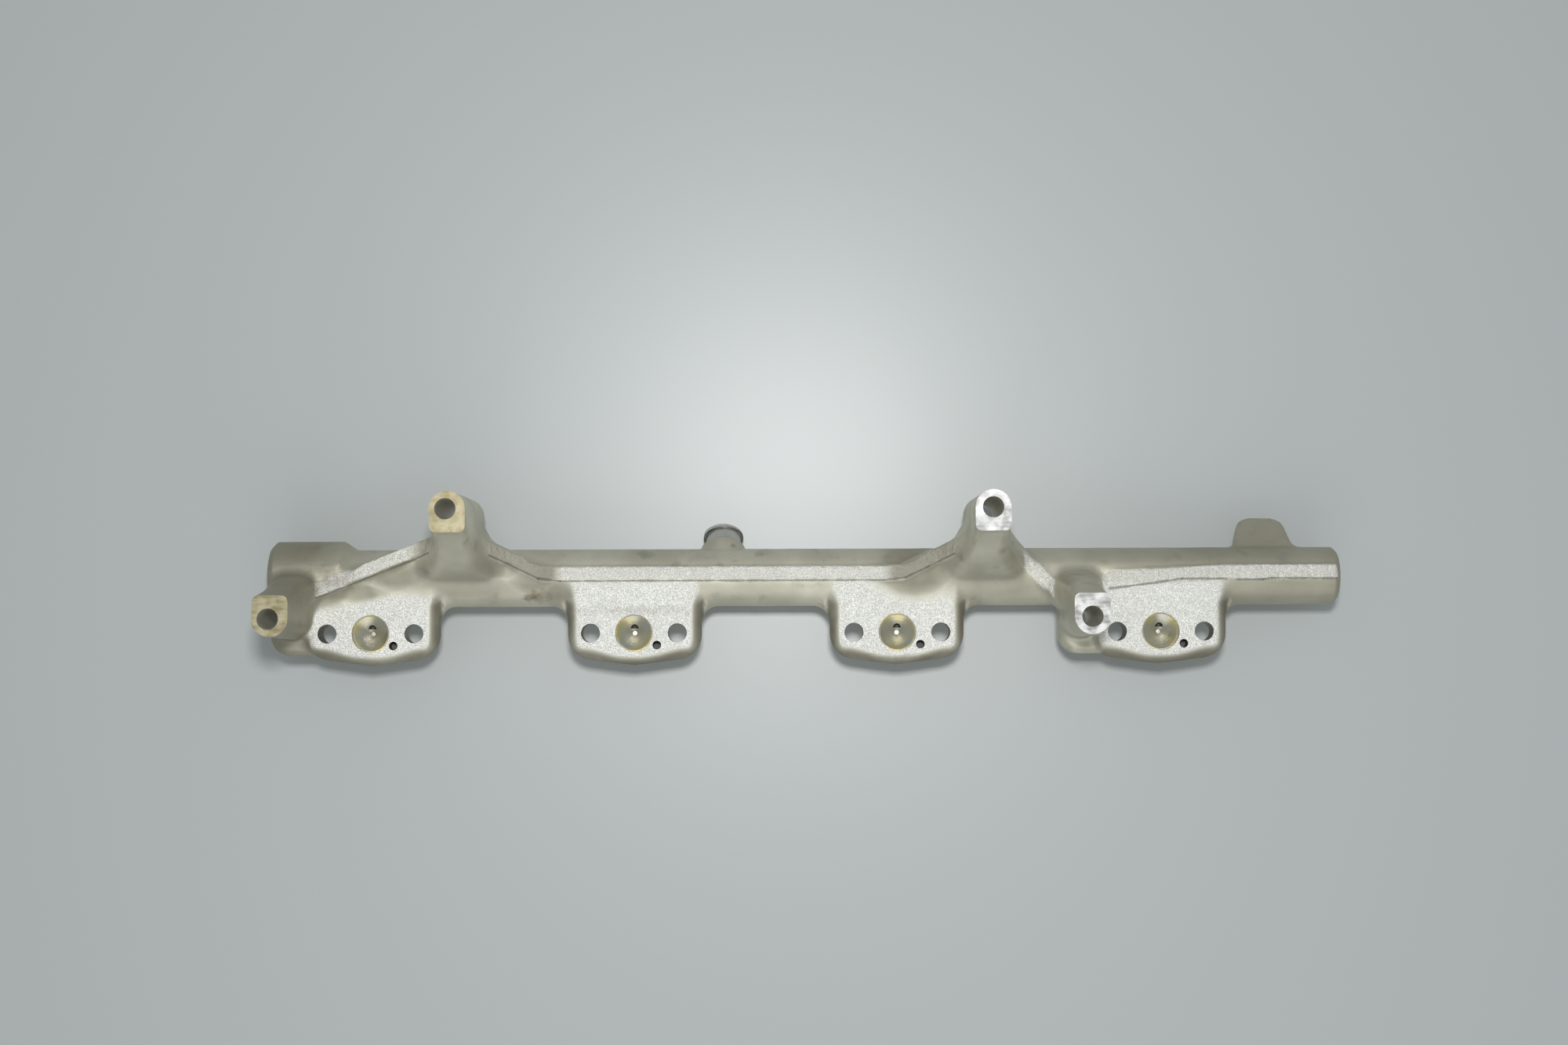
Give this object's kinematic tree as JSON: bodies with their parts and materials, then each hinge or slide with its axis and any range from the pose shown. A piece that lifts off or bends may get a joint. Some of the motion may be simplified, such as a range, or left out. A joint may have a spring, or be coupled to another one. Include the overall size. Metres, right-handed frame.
{
  "type": "fuel rail",
  "caption": "Forged steel fuel rail: a tube with injector pads, turned seats, bolt-down feet joined by ribs, a threaded inlet and a sensor port.",
  "frame": {"origin": "in the plane of the feet, midway between the two rear bolt holes", "axes": "+X along the rail from the head with the sensor port to the plain end, +Z from the rail to the cylinder head, along the bolts"},
  "size_m": [0.3714, 0.0586, 0.061],
  "materials": {
    "forged_steel": "blasted forging, machined at the feet and seats"
  },
  "bodies": {
    "root": {"rail_body": "forged_steel"}
  },
  "joints": []
}
